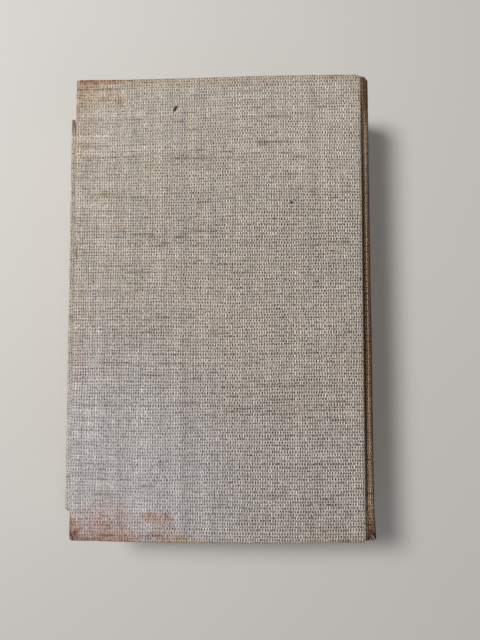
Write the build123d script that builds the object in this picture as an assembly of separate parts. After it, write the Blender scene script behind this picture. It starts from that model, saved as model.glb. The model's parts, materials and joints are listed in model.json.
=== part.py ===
from build123d import *
import math
import os

# A case-bound book lying on its front cover, its spine leaning over.
# Millimetres. X runs across the covers to the spine, Y runs from tail to head, Z is up.

# Boards and the cloth over them
board_height = 189.2
board_width = 117.9
board_thick = 2.4
cloth_thick = 0.4
turn_in = 14.0
corner_radius = 1.6
edge_radius = 0.7

# Leaves and endpapers
text_thick = 30.6
paper_thick = 0.15
square = 3.2
paste_margin = 2.6
fore_hollow = 3.4

# Back of the leaves and the spine over it
lean = 15.0
spine_round = 4.0
shoulder_rise = 0.6
shoulder_run = 2.0
lining_thick = 0.2
inlay_thick = 0.45
band_deep = 1.3
band_tall = 1.7

# Joint between a board and the spine
joint_width = 2.4
groove_floor = 0.6
groove_bend = 0.3
hinge_proud = 0.5

# Fits
cover_clearance = 0.2
hinge_clearance = 0.3
hollow_slack = 0.05

# Sizes worked out from those above
cover_width = board_width + cloth_thick * 2
cover_height = board_height + cloth_thick * 2
cover_thick = paper_thick + cloth_thick + board_thick + cloth_thick
leaf_height = cover_height - square * 2
text_bottom = cover_thick + cover_clearance + paper_thick
text_top = text_bottom + text_thick
total_thick = text_top + paper_thick + cover_clearance + cover_thick
cover_inside = total_thick - cover_thick
turn_inside = cover_inside + paper_thick
board_inside = turn_inside + cloth_thick
turn_depth = lining_thick + hollow_slack
inlay_inside = turn_depth + cloth_thick
inlay_outside = inlay_inside + inlay_thick
spine_outside = inlay_outside + cloth_thick

# The rounded back: an arc between the crests of the two shoulders
crest_top = Vector(joint_width, text_top + shoulder_rise)
crest_low = Vector(joint_width - lean, text_bottom - shoulder_rise)
chord = crest_top - crest_low
back_radius = chord.length**2 / (8 * spine_round) + spine_round / 2
out_way = Vector(chord.Y, -chord.X).normalized()
back_centre = (crest_top + crest_low) / 2 - out_way * (back_radius - spine_round)
top_way = crest_top - back_centre
low_way = crest_low - back_centre
top_angle = math.degrees(math.atan2(top_way.Y, top_way.X))
low_angle = math.degrees(math.atan2(low_way.Y, low_way.X))


def block(x0, x1, length, z0, z1):
    """A box from x0 to x1 and z0 to z1, of this length about the middle of Y."""
    middle = Pos((x0 + x1) / 2, 0, (z0 + z1) / 2)
    return middle * Box(x1 - x0, length, z1 - z0)


def along_y(profile, length):
    """An X-Z profile carried along Y, half to each side of the middle."""
    return extrude(Plane.XZ * profile, length / 2, both=True)


def between(profile, y0, y1):
    """An X-Z profile carried from y0 to y1."""
    return Pos(0, (y0 + y1) / 2, 0) * along_y(profile, y1 - y0)


def to_front(piece):
    """The same piece of the front cover: turned upside down, and a lean further out."""
    return Pos(-lean, 0, 0) * mirror(piece, Plane.XY.offset(total_thick / 2))


def back_arc(offset):
    """The rounded back, moved out by an offset, from the lower crest to the upper one."""
    return CenterArc(back_centre, back_radius + offset, low_angle, top_angle - low_angle)


def closed(first, second):
    """The face between two open lines that run the same way."""
    start = Line(first @ 0, second @ 0)
    end = Line(first @ 1, second @ 1)
    return make_face(first.edges() + second.edges() + [start, end])


def back_layer(inner, outer):
    """A layer of the spine between two offsets, cut square at the crests."""
    return closed(back_arc(inner), back_arc(outer))


def over_crests(offset):
    """The rounded back moved out by an offset, carried round both crests to their tops."""
    low_end = CenterArc(crest_low, offset, -90, low_angle + 90)
    top_end = CenterArc(crest_top, offset, top_angle, 90 - top_angle)
    return Wire([low_end.edge(), back_arc(offset).edge(), top_end.edge()])


def text_block():
    """All the leaves: leaning, with a rounded back, two shoulders and a hollow fore-edge."""
    foot_top = Vector(joint_width - shoulder_run, text_top)
    foot_low = Vector(joint_width - shoulder_run - lean, text_bottom)
    fore_top = Vector(square - cover_width, text_top)
    fore_low = Vector(square - cover_width - lean, text_bottom)
    top = Polyline(crest_top, foot_top, fore_top)
    low = Polyline(crest_low, foot_low, fore_low)
    back = back_arc(0)
    fore = SagittaArc(fore_low, fore_top, -fore_hollow)
    return along_y(make_face(top.edges() + low.edges() + [back, fore]), leaf_height)


def flyleaf():
    """The free endpaper that lies on the upper side of the leaves."""
    foot = joint_width - shoulder_run
    return block(square - cover_width, foot, leaf_height, text_top, text_top + paper_thick)


def spine_lining():
    """The lining glued to the rounded back of the leaves."""
    return along_y(back_layer(0, lining_thick), leaf_height)


def spine_inlay():
    """The thin card strip inside the spine of the case."""
    return along_y(back_layer(inlay_inside, inlay_outside), board_height)


def spine_cloth():
    """The cloth over the spine, turned in round both ends of the inlay."""
    outside = along_y(closed(over_crests(inlay_outside), over_crests(spine_outside)), cover_height)
    cap = back_layer(turn_depth, spine_outside)
    inside = back_layer(turn_depth, inlay_inside)
    rim = board_height / 2
    end = between(cap, rim, cover_height / 2) + between(inside, cover_height / 2 - turn_in, rim)
    return outside + end + mirror(end, Plane.XZ)


def end_band():
    """The band that stands on the head of the leaves, along the rounded back."""
    rim = leaf_height / 2
    return between(back_layer(-band_deep, 0), rim, rim + band_tall)


def board():
    """The back board, blunt at its two outer corners."""
    plate = block(cloth_thick - cover_width, -cloth_thick, board_height, board_inside, total_thick - cloth_thick)
    corners = plate.edges().filter_by(Axis.Z).group_by(Axis.X)[0]
    return fillet(corners, corner_radius - cloth_thick)


def joint_strip():
    """The cloth from the edge of the board down into the groove and up to the crest."""
    middle = cloth_thick / 2
    floor = cover_inside + middle
    brow = crest_top.Y + spine_outside - middle
    line = FilletPolyline(
        (-middle, total_thick - edge_radius),
        (-middle, floor),
        (groove_floor, floor),
        (joint_width - groove_floor, brow),
        (joint_width - hinge_clearance, brow),
        radius=groove_bend,
    )
    return along_y(trace(line, cloth_thick), cover_height)


def cover_cloth():
    """The cloth round the back board: its outside, its edges and the strips turned in."""
    shell = block(-cover_width, 0, cover_height, turn_inside, total_thick)
    corners = shell.edges().filter_by(Axis.Z).group_by(Axis.X)[0]
    shell = fillet(corners, corner_radius)
    rims = shell.faces().sort_by(Axis.Z)[-1].edges() + shell.faces().sort_by(Axis.Z)[0].edges()
    soft = [rim for rim in rims if rim.center().X < -edge_radius]
    shell = fillet(soft, edge_radius)
    opening = block(turn_in - cover_width, -cloth_thick, cover_height - turn_in * 2, turn_inside, board_inside)
    return shell - board() - opening + joint_strip()


def pastedown():
    """The glued endpaper: over the turned-in cloth, and down on the board between."""
    left = turn_in - cover_width
    wide = cover_height - turn_in * 2
    sheet = block(paste_margin - cover_width, -cloth_thick, cover_height - paste_margin * 2, cover_inside, turn_inside)
    tray = block(left, -cloth_thick, wide, cover_inside, board_inside)
    wall = paper_thick * 2
    room = block(left + paper_thick, -cloth_thick, wide - wall, cover_inside, board_inside - paper_thick)
    return sheet + tray - room


def book():
    """Every solid of the book by its name, in the frame of its layout."""
    band = end_band()
    return {
        "text_block": text_block(),
        "back_flyleaf": flyleaf(),
        "front_flyleaf": to_front(flyleaf()),
        "spine_lining": spine_lining(),
        "spine_inlay": spine_inlay(),
        "spine_cloth": spine_cloth(),
        "head_band": band,
        "tail_band": mirror(band, Plane.XZ),
        "back_board": board(),
        "front_board": to_front(board()),
        "back_cover_cloth": cover_cloth(),
        "front_cover_cloth": to_front(cover_cloth()),
        "back_pastedown": pastedown(),
        "front_pastedown": to_front(pastedown()),
    }


# The origin is under the middle of the whole book, on the face it rests on.
pieces = book()
box = Compound(list(pieces.values())).bounding_box()
middle_x = (box.min.X + box.max.X) / 2
os.makedirs("parts", exist_ok=True)
for name, piece in pieces.items():
    export_step(Pos(-middle_x, 0, 0) * piece, f"parts/{name}.step")

hinge_high = crest_top.Y + spine_outside + hinge_proud
print("back hinge", joint_width - middle_x, hinge_high)
print("front hinge", joint_width - lean - middle_x, total_thick - hinge_high)
print("whole", box.size)
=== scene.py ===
"""A linen-bound hardback book lying on its front cover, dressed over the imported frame."""
import json
import logging
import math
import random
from collections.abc import Callable, Iterable, Sequence
from dataclasses import dataclass, field
from enum import Enum

import bmesh
import bpy
from mathutils import Matrix, Vector
from mathutils import noise as solid_noise


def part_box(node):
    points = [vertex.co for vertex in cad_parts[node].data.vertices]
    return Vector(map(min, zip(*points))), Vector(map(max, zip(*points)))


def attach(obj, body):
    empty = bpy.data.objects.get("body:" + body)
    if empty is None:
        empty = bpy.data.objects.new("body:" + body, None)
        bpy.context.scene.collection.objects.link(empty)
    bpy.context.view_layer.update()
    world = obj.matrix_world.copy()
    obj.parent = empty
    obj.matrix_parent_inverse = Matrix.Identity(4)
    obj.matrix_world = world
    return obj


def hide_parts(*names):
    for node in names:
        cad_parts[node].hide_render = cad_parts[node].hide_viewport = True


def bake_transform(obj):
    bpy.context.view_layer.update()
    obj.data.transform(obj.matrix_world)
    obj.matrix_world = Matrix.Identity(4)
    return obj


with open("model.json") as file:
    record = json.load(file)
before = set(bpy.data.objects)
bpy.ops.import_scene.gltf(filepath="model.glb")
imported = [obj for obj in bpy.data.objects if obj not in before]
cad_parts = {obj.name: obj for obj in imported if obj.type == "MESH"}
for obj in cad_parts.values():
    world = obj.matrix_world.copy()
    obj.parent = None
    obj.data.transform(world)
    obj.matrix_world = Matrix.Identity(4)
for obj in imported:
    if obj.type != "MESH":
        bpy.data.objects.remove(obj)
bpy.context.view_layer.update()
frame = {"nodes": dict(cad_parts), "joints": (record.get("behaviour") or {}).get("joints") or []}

LOG = logging.getLogger("book")
MM = 0.001
# Lengths in metres that count as none: between two heights, and from a corner to a cut.
HAIR = 1e-6
CUT_SNAP = 1e-8
X_AXIS = Vector((1.0, 0.0, 0.0))
Y_AXIS = Vector((0.0, 1.0, 0.0))
Colour = tuple[float, float, float]
Zone = tuple[float, float]
Settings = dict[str, object]
Sockets = dict[int | str, object]
WHITE: Colour = (1.0, 1.0, 1.0)


def paint(red: int, green: int, blue: int) -> Colour:
    """Turn a display colour into a linear one.

    Args:
        red: Red from 0 to 255.
        green: Green from 0 to 255.
        blue: Blue from 0 to 255.

    Returns:
        The three linear shares.
    """
    shares = (red / 255, green / 255, blue / 255)
    return tuple(s / 12.92 if s <= 0.04045 else ((s + 0.055) / 1.055) ** 2.4 for s in shares)


def uneven(place: Vector, coarse: float) -> float:
    """Return a smooth uneven value from -1 to 1.

    Args:
        place: A point in metres.
        coarse: The size of one swell in metres.

    Returns:
        The value at that point.
    """
    return solid_noise.noise(place / coarse)


def ease(value: float, low: float, high: float) -> float:
    """Return 0 below low, 1 above high and a smooth step between them."""
    share = min(max((value - low) / (high - low), 0.0), 1.0)
    return share * share * (3 - 2 * share)


def runs(points: Sequence[Vector]) -> list[float]:
    """Return how far along a line each of its points lies."""
    far = [0.0]
    for before, after in zip(points, points[1:]):
        far.append(far[-1] + (after - before).length)
    return far


def show(name: str, data: bpy.types.ID) -> bpy.types.Object:
    """Put a mesh, a lamp or a camera into the scene.

    Args:
        name: The object's name.
        data: What it shows.

    Returns:
        The object.
    """
    shown = bpy.data.objects.new(name, data)
    bpy.context.scene.collection.objects.link(shown)
    return shown


def dress(node: str, finish: bpy.types.Material) -> None:
    """Give a solid of the frame its finish.

    Args:
        node: The solid's name.
        finish: The only material that it keeps.
    """
    materials = frame["nodes"][node].data.materials
    materials.clear()
    materials.append(finish)


class Side(Enum):
    """The two covers: the back cover lies on top, the front cover underneath."""

    BACK = "back"
    FRONT = "front"

    @property
    def up(self) -> float:
        """The way from the leaves to the outside of this cover, along Z."""
        return 1.0 if self is Side.BACK else -1.0

    @property
    def body(self) -> str:
        """The name of the body that this cover moves with."""
        return self.named("cover")

    def named(self, piece: str) -> str:
        """Return the full name of a piece on this side."""
        return f"{self.value}_{piece}"


class End(Enum):
    """The two ends of the spine."""

    HEAD = 1.0
    TAIL = -1.0

    @property
    def band(self) -> str:
        """The name of the band at this end."""
        return f"{self.name.lower()}_band"


class Wire:
    """An output socket that takes part in Python sums, each of which adds a Math node."""

    def __init__(self, graph: "Graph", socket: bpy.types.NodeSocket) -> None:
        """Keep the socket and its graph."""
        self.graph = graph
        self.socket = socket

    def math(self, operation: str, *others: "Wire | float") -> "Wire":
        """Return a Math node of this socket.

        Args:
            operation: The Math node's operation.
            others: Its second and third values.

        Returns:
            The node's result.
        """
        values = dict(enumerate((self, *others)))
        return self.graph.node("ShaderNodeMath", {"operation": operation}, values)

    def __add__(self, other: "Wire | float") -> "Wire":
        """Add."""
        return self.math("ADD", other)

    __radd__ = __add__

    def __sub__(self, other: "Wire | float") -> "Wire":
        """Subtract."""
        return self.math("SUBTRACT", other)

    def __rsub__(self, other: float) -> "Wire":
        """Subtract from a number."""
        return (self * -1.0) + other

    def __mul__(self, other: "Wire | float") -> "Wire":
        """Multiply."""
        return self.math("MULTIPLY", other)

    __rmul__ = __mul__

    def __truediv__(self, other: "Wire | float") -> "Wire":
        """Divide."""
        return self.math("DIVIDE", other)

    def __pow__(self, other: "Wire | float") -> "Wire":
        """Raise to a power."""
        return self.math("POWER", other)

    def __abs__(self) -> "Wire":
        """Drop the sign."""
        return self.math("ABSOLUTE")

    def floor(self) -> "Wire":
        """Round down."""
        return self.math("FLOOR")

    def part(self) -> "Wire":
        """Keep only what is past the last whole number."""
        return self.math("FRACT")

    def swing(self, reach: "Wire | float") -> "Wire":
        """Turn a value from 0 to 1 into one around zero that spans this reach."""
        return (self - 0.5) * reach

    def ridge(self) -> "Wire":
        """Return 0 at whole numbers and a round hump of 1 between them."""
        share = self.part()
        return share * (1.0 - share) * 4.0

    def ease(self, low: float, high: float) -> "Wire":
        """Return 0 at low, 1 at high and a smooth step between them."""
        return self.graph.node(
            "ShaderNodeMapRange",
            {"interpolation_type": "SMOOTHSTEP"},
            {"Value": self, "From Min": low, "From Max": high},
        )


class Graph:
    """The node graph of one new material."""

    MIX_SHARE, MIX_UNDER, MIX_OVER, MIX_COLOUR = 0, 6, 7, 2

    def __init__(self, name: str) -> None:
        """Start an empty material of this name."""
        self.material = bpy.data.materials.new(name)
        self.material.use_nodes = True
        self.tree = self.material.node_tree
        self.tree.nodes.clear()

    def add(self, kind: str, settings: Settings, sockets: Sockets) -> bpy.types.ShaderNode:
        """Add any node.

        Args:
            kind: The node's type.
            settings: Its settings, set before its sockets.
            sockets: Values or wires for its inputs, by name or number.

        Returns:
            The node.
        """
        made = self.tree.nodes.new(kind)
        for key, value in settings.items():
            setattr(made, key, value)
        for key, value in sockets.items():
            if isinstance(value, Wire):
                self.tree.links.new(value.socket, made.inputs[key])
            elif isinstance(value, tuple) and made.inputs[key].type == "RGBA":
                made.inputs[key].default_value = (*value, 1.0)
            else:
                made.inputs[key].default_value = value
        return made

    def node(self, kind: str, settings: Settings, sockets: Sockets, out: int | str = 0) -> Wire:
        """Add any node and return one of its outputs.

        Args:
            kind: The node's type.
            settings: Its settings, set before its sockets.
            sockets: Values or wires for its inputs, by name or number.
            out: The output to return.

        Returns:
            That output.
        """
        return Wire(self, self.add(kind, settings, sockets).outputs[out])

    def mix(
        self, under: Wire | Colour, over: Wire | Colour, share: Wire | float, how: str = "MIX"
    ) -> Wire:
        """Mix two colours.

        Args:
            under: The colour at 0.
            over: The colour at 1.
            share: The share of the second.
            how: The blend type.

        Returns:
            The mixed colour.
        """
        sockets = {self.MIX_SHARE: share, self.MIX_UNDER: under, self.MIX_OVER: over}
        settings = {"data_type": "RGBA", "blend_type": how}
        return self.node("ShaderNodeMix", settings, sockets, self.MIX_COLOUR)

    def tint(self, colour: Wire | Colour, tint: Wire | Colour, share: Wire | float = 1.0) -> Wire:
        """Multiply a colour by a tint, by a share of it."""
        return self.mix(colour, tint, share, "MULTIPLY")

    def point(self, x: Wire | float, y: Wire | float, z: Wire | float = 0.0) -> Wire:
        """Join three numbers into a vector."""
        return self.node("ShaderNodeCombineXYZ", {}, {0: x, 1: y, 2: z})

    def grey(self, light: Wire) -> Wire:
        """Return a grey of this lightness."""
        return self.point(light, light, light)

    def apart(self, vector: Wire) -> tuple[Wire, Wire, Wire]:
        """Split a vector into its three numbers."""
        made = self.add("ShaderNodeSeparateXYZ", {}, {0: vector})
        return tuple(Wire(self, socket) for socket in made.outputs)

    def noise(self, vector: Wire, scale: float, detail: float = 2.0, rough: float = 0.5) -> Wire:
        """Return a noise from 0 to 1, around a half, with this many swells to the metre."""
        sockets = {"Vector": vector, "Scale": scale, "Detail": detail, "Roughness": rough}
        return self.node("ShaderNodeTexNoise", {"noise_dimensions": "3D"}, sockets)

    def grain(self, x: Wire, y: Wire, z: Wire | float = 0.0, detail: float = 2.0) -> Wire:
        """Return a noise that is stretched by what its three numbers are multiplied by."""
        return self.noise(self.point(x, y, z), 1.0, detail)

    def chance(self, number: Wire) -> Wire:
        """Return one chance value from 0 to 1 for each number."""
        return self.node("ShaderNodeTexWhiteNoise", {"noise_dimensions": "1D"}, {"W": number})

    def place(self) -> Wire:
        """Return the point on the object, in metres."""
        return self.node("ShaderNodeTexCoord", {}, {}, "Object")

    def cloth_place(self) -> Wire:
        """Return the point on the flat cloth, in metres."""
        return self.node("ShaderNodeUVMap", {"uv_map": "cloth"}, {})

    def surface(
        self, colour: Wire, rough: Wire, height: Wire, deep: float, **fixed: float
    ) -> bpy.types.Material:
        """Finish the material.

        Args:
            colour: The colour over the surface.
            rough: The roughness over the surface.
            height: The relief, from 0 to 1.
            deep: The depth of that relief in metres.
            fixed: Sockets of the shader that are the same all over.

        Returns:
            The material.
        """
        normal = self.node("ShaderNodeBump", {}, {"Strength": 1.0, "Distance": deep, "Height": height})
        sockets = {"Base Color": colour, "Roughness": rough, "Normal": normal}
        sockets |= {key.replace("_", " "): value for key, value in fixed.items()}
        shader = self.node("ShaderNodeBsdfPrincipled", {}, sockets)
        self.add("ShaderNodeOutputMaterial", {}, {"Surface": shader})
        return self.material


@dataclass(frozen=True)
class Stain:
    """A tinted oval on the linen, with a ragged rim. Some are stained and bleached places; others are
    painted shade, painted highlights and painted cool light.

    Attributes:
        at: Its middle on the flat cloth, in millimetres.
        size: Its half width and half height, in millimetres.
        tint: What the linen's colour is multiplied by.
        strength: The share of the tint at its middle.
        turn: Its turn in degrees, its upper end towards the fore-edge.
        ragged: How torn its rim is.
        soaked: Whether some crossings of the threads take up more of it than others.
    """

    at: tuple[float, float]
    size: tuple[float, float]
    tint: Colour
    strength: float = 1.0
    turn: float = 0.0
    ragged: float = 0.9
    soaked: bool = True

    def far(self, g: Graph, flat: Wire) -> Wire:
        """Return how far a point lies from the middle, where 1 is the rim.

        Args:
            g: The material's graph.
            flat: The point on the flat cloth.

        Returns:
            The distance.
        """
        where = {
            "Vector": flat,
            "Location": (self.at[0] * MM, self.at[1] * MM, 0.0),
            "Rotation": (0.0, 0.0, math.radians(self.turn)),
            "Scale": (self.size[0] * MM, self.size[1] * MM, 1.0),
        }
        local = g.node("ShaderNodeMapping", {"vector_type": "TEXTURE"}, where)
        return g.node("ShaderNodeVectorMath", {"operation": "LENGTH"}, {0: local}, "Value")


@dataclass(frozen=True)
class Weave:
    """Where a point of the flat cloth lies in the weave.

    Attributes:
        graph: The material's graph.
        flat: The point on the flat cloth, in metres.
        u: Its place across the cloth, towards the spine.
        v: Its place along the cloth, towards the head.
        end: The number of its warp thread.
        pick: The number of its weft thread.
        side: Its place across the warp thread, from -1 to 1.
        rise: Its place across the weft thread, from -1 to 1.
        under: 1 where the warp dips under the weft, and 0 where it lies on top.
        lot: A chance value for each crossing of the threads.
        warp_slub: How thick the warp thread is here.
        weft_slub: How thick the weft thread is here.
        warp_round: The roundness of the warp thread.
        weft_round: The roundness of the weft thread.
        dotted: 0 at the fore-edge, where the gaps join into lines, and 1 where they are dots.
    """

    graph: Graph
    flat: Wire
    u: Wire
    v: Wire
    end: Wire
    pick: Wire
    side: Wire
    rise: Wire
    under: Wire
    lot: Wire
    warp_slub: Wire
    weft_slub: Wire
    warp_round: Wire
    weft_round: Wire
    dotted: Wire


@dataclass(frozen=True)
class Linen:
    """Coarse natural linen: fine upright warp threads over thick level weft threads.

    Attributes:
        warp_waver: How far a warp thread wavers along its length, in threads.
        warp_drift: How far the warp drifts as a whole, in threads.
        weft_waver: How far a weft thread wavers along its length, in threads.
        weft_drift: How far the weft drifts as a whole, in threads.
        tail_cool_light: How much painted cool light tints the linen towards the tail.
    """

    name: str
    warp: Colour = paint(198, 188, 176)
    weft: Colour = paint(172, 162, 150)
    gap: Colour = paint(50, 41, 33)
    warp_pitch: float = 0.58 * MM
    weft_pitch: float = 1.22 * MM
    group_pitch: float = 1.0 * MM
    relief_deep: float = 0.10 * MM
    warp_waver: float = 1.3
    warp_drift: float = 2.2
    weft_waver: float = 1.1
    weft_drift: float = 1.6
    thread_slack: float = 1.75
    slub: float = 1.5
    dotted_zone: Zone = (-62 * MM, 20 * MM)
    light_zone: Zone = (-62 * MM, 30 * MM)
    worn_and_shaded_zone: Zone = (-62 * MM, 45 * MM)
    head_zone: Zone = (25 * MM, 75 * MM)
    tail_zone: Zone = (-20 * MM, -75 * MM)
    fore_tail_zone: Zone = (25 * MM, -45 * MM)
    bare_zone: Zone = (-34 * MM, -56 * MM)
    faded_zone: Zone = (75 * MM, 15 * MM)
    cool_light_zone: Zone = (0.0, -80 * MM)
    mark_rim: Zone = (1.05, 0.35)
    # Multiplies the whole colour: on the spine, a brown that is partly sun-toned linen and partly a painted
    # warm reflection.
    tone_and_reflection: Colour = WHITE
    tail_cool_light: float = 0.0
    stains_and_painted_light: tuple[Stain, ...] = ()

    def make(self) -> bpy.types.Material:
        """Build the material of this linen."""
        g = Graph(self.name)
        w = self.weave(g)
        colour = g.mix(self.threads(w), self.gap, self.gaps(w))
        colour = self.soiled_and_painted_light(w, self.aged(w, self.streaked(w, colour)))
        fuzz = g.noise(w.flat, 5200.0, 1.0)
        relief = self.relief(w) + fuzz.swing(0.3)
        rough = 0.92 - fuzz.swing(0.12)
        return g.surface(
            colour, rough, relief, self.relief_deep, Sheen_Weight=0.08, Specular_IOR_Level=0.25
        )

    def weave(self, g: Graph) -> Weave:
        """Lay out the threads, none of them quite straight or even.

        Args:
            g: The material's graph.

        Returns:
            The place of each point in the weave.
        """
        flat = g.cloth_place()
        u, v, _ = g.apart(flat)
        across = u / self.warp_pitch + g.grain(u * 520.0, v * 11.0).swing(self.warp_waver)
        across = across + g.noise(flat, 24.0, 1.0).swing(self.warp_drift)
        along = v / self.weft_pitch + g.grain(u * 14.0, v * 300.0, 5.0).swing(self.weft_waver)
        along = along + g.noise(g.point(u + 0.7, v), 16.0, 1.0).swing(self.weft_drift)
        end, pick = across.floor(), along.floor()
        side, rise = across.part() * 2.0 - 1.0, along.part() * 2.0 - 1.0
        warp_slub = g.grain(end * 3.71, v * 120.0)
        weft_slub = g.grain(u * 95.0, pick * 3.37, 9.0)
        return Weave(
            graph=g,
            flat=flat,
            u=u,
            v=v,
            end=end,
            pick=pick,
            side=side,
            rise=rise,
            under=((end + pick) * 0.5).part() * 2.0,
            lot=g.chance(end + pick * 173.3),
            warp_slub=warp_slub,
            weft_slub=weft_slub,
            warp_round=1.0 - side * side * (self.thread_slack - warp_slub * self.slub),
            weft_round=1.0 - rise * rise * (self.thread_slack - weft_slub * self.slub),
            dotted=u.ease(*self.dotted_zone),
        )

    def relief(self, w: Weave) -> Wire:
        """Return the height of the upper thread at each point."""
        over = w.warp_round * (w.weft_round * 0.5 + 0.5) + w.lot.swing(0.3)
        under = w.weft_round * (w.warp_round * 0.4 + 0.32) + w.lot.swing(0.5)
        return over + (under - over) * w.under

    def threads(self, w: Weave) -> Wire:
        """Return the colour of the threads, lighter and darker from one to the next.

        Args:
            w: The place in the weave.

        Returns:
            The colour, without the gaps.
        """
        g, u, v = w.graph, w.u, w.v
        warp = w.warp_slub.swing(0.5) + g.chance(w.end).swing(0.2) + 1.0
        weft = w.weft_slub.swing(0.6) + g.chance(w.pick + 0.5).swing(0.2) + 1.0
        over, under = warp * (w.warp_round * 0.5 + 0.74), weft * 0.98
        light = over + (under - over) * w.under
        light = light * (g.noise(w.flat, 1500.0, 1.0).swing(1.6 - w.dotted * 0.6) + 1.3)
        light = light * (g.grain(u * 1500.0, v * 220.0, 7.0, 1.0).swing(0.55) + 1.0)
        light = light * (g.grain(u * 260.0, v * 7.0, 4.0).swing(0.4) + 1.0)
        light = light * (u.ease(*self.light_zone) * 0.2 + 0.8)
        light = light.math("SMOOTH_MIN", 2.0, 0.5).math("MAXIMUM", 0.06)
        thread = g.mix(self.warp, self.weft, w.under * (w.dotted * 0.7 + 0.3))
        return g.tint(thread, g.grey(light))

    def gaps(self, w: Weave) -> Wire:
        """Return how dark the gaps between the threads are: less so where the cloth is worn, and darker
        towards the spine, partly as painted shade where the light grazes the weave.

        Args:
            w: The place in the weave.

        Returns:
            The share of the gap's colour.
        """
        g, lot, dotted = w.graph, w.lot, w.dotted
        groups = w.u / self.group_pitch + g.noise(w.flat, 90.0, 2.0).swing(1.6)
        split = ((groups * math.tau).math("SINE") * 0.5 + 0.5) ** 1.3
        stray = g.chance(w.end * 7.7 + w.pick * 31.1)
        row = abs(w.rise + stray.swing(0.6)).ease(0.85, 0.1)
        aside = w.side + lot.swing(0.8)
        dot = w.under * (1.0 - aside * aside * 0.9).math("MAXIMUM", 0.0) * row
        loose = g.noise(w.flat, 240.0, 3.0) * 1.3 + 0.35
        lines = split * (dotted * 0.06 + 0.42) + row * (0.25 - dotted * 0.08)
        hole = dot * (lot * lot * 0.7 + 0.38) * loose * (dotted * 0.5 + 0.08) + lines * (lot * 0.4 + 0.75)
        hole = hole + split * row * (lot * 0.7 + 0.3) * loose * (0.5 - dotted * 0.32)
        # Gaps darker towards the spine: partly wear, partly painted shade of a grazing light.
        worn_and_shaded = (w.u.ease(*self.worn_and_shaded_zone) * 0.32 + 0.88) * (1.0 - w.v.ease(*self.head_zone) * 0.18)
        worn_and_shaded = worn_and_shaded * (1.0 - w.v.ease(*self.tail_zone) * w.u.ease(*self.fore_tail_zone) * 0.22)
        return (hole * worn_and_shaded).math("MINIMUM", 1.0)

    def streaked(self, w: Weave, colour: Wire) -> Wire:
        """Darken and bleach short runs of single weft threads.

        Args:
            w: The place in the weave.
            colour: The colour of the even weave.

        Returns:
            The streaked colour.
        """
        g = w.graph
        streak = g.grain(w.u * 52.0, w.pick * 2.93, 3.0, 1.0)
        colour = g.tint(colour, (0.66, 0.64, 0.62), streak.ease(0.62, 0.74) * 0.8)
        colour = g.tint(colour, (1.16, 1.15, 1.13), streak.ease(0.36, 0.27))
        bare = g.grain(w.u * 38.0, w.pick * 5.13, 8.0, 1.0).ease(0.52, 0.66)
        return g.tint(colour, (1.22, 1.22, 1.21), bare * w.u.ease(*self.bare_zone))

    def aged(self, w: Weave, colour: Wire) -> Wire:
        """Lay clouds, warm and faded places and flecks over the clean weave, then the toning, partly a
        painted warm reflection, and painted cool light towards the tail.

        Args:
            w: The place in the weave.
            colour: The colour of the clean weave.

        Returns:
            The weathered colour, with its painted light.
        """
        g, u, v = w.graph, w.u, w.v
        cloud = g.noise(w.flat, 38.0, 4.0, 0.6)
        colour = g.tint(colour, g.grey(cloud.swing(0.24) + 1.0))
        warm = g.noise(g.point(u + 2.0, v), 62.0, 4.0, 0.62).ease(0.52, 0.74)
        colour = g.tint(colour, (1.0, 0.93, 0.82), warm * 0.55)
        faded = g.noise(g.point(u + 4.0, v), 95.0, 3.0, 0.6).ease(0.5, 0.66)
        colour = g.tint(colour, (0.99, 0.965, 1.07), faded * v.ease(*self.faded_zone) * 0.4)
        fleck = g.grain(u * 420.0, v * 1000.0, 6.0).ease(0.64, 0.74)
        colour = g.tint(colour, (0.94, 0.82, 0.64), fleck * 0.8)
        # Partly sun-toned linen, partly a painted warm reflection.
        colour = g.tint(colour, self.tone_and_reflection)
        # Painted cool light towards the tail.
        if self.tail_cool_light:
            colour = g.tint(colour, (0.975, 0.997, 1.08), v.ease(*self.cool_light_zone) * self.tail_cool_light)
        return colour

    def soiled_and_painted_light(self, w: Weave, colour: Wire) -> Wire:
        """Lay the stained and bleached places, and the painted shade, highlights and cool light, over the
        weathered weave.

        Args:
            w: The place in the weave.
            colour: The colour of the weathered weave.

        Returns:
            The marked colour.
        """
        g = w.graph
        torn = g.noise(w.flat, 420.0, 4.0, 0.65) - 0.5
        soak = w.lot * 0.7 + 0.5
        for mark in self.stains_and_painted_light:
            far = mark.far(g, w.flat) + torn * mark.ragged
            mask = far.ease(*self.mark_rim) * mark.strength
            mask = (mask * soak).math("MINIMUM", 1.0) if mark.soaked else mask
            colour = g.tint(colour, mark.tint, mask)
        return colour


@dataclass(frozen=True)
class LeafEdges:
    """Cut edges of many old leaves: fine level lines under dust and foxing."""

    name: str = "leaf_edges"
    pale: Colour = paint(224, 212, 186)
    dark: Colour = paint(176, 156, 122)
    dust: Colour = (0.9, 0.82, 0.7)
    fox: Colour = (0.72, 0.52, 0.33)
    relief_deep: float = 0.09 * MM

    def make(self) -> bpy.types.Material:
        """Build the material of the leaf edges."""
        g = Graph(self.name)
        x, y, z = g.apart(g.place())
        fine = g.grain(x * 24.0, y * 24.0, z * 9000.0)
        group = g.grain(x * 7.0, y * 7.0, z * 1500.0)
        lines = fine * 0.7 + group * 0.3
        colour = g.mix(self.dark, self.pale, lines.ease(0.28, 0.6))
        dusty = g.noise(g.place(), 130.0, 4.0, 0.6).ease(0.45, 0.75)
        colour = g.tint(colour, self.dust, dusty * 0.8)
        spots = g.noise(g.place(), 900.0, 2.0).ease(0.7, 0.78)
        colour = g.tint(colour, self.fox, spots * 0.5)
        return g.surface(colour, 0.88 - lines * 0.08, lines, self.relief_deep, Specular_IOR_Level=0.3)


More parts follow.
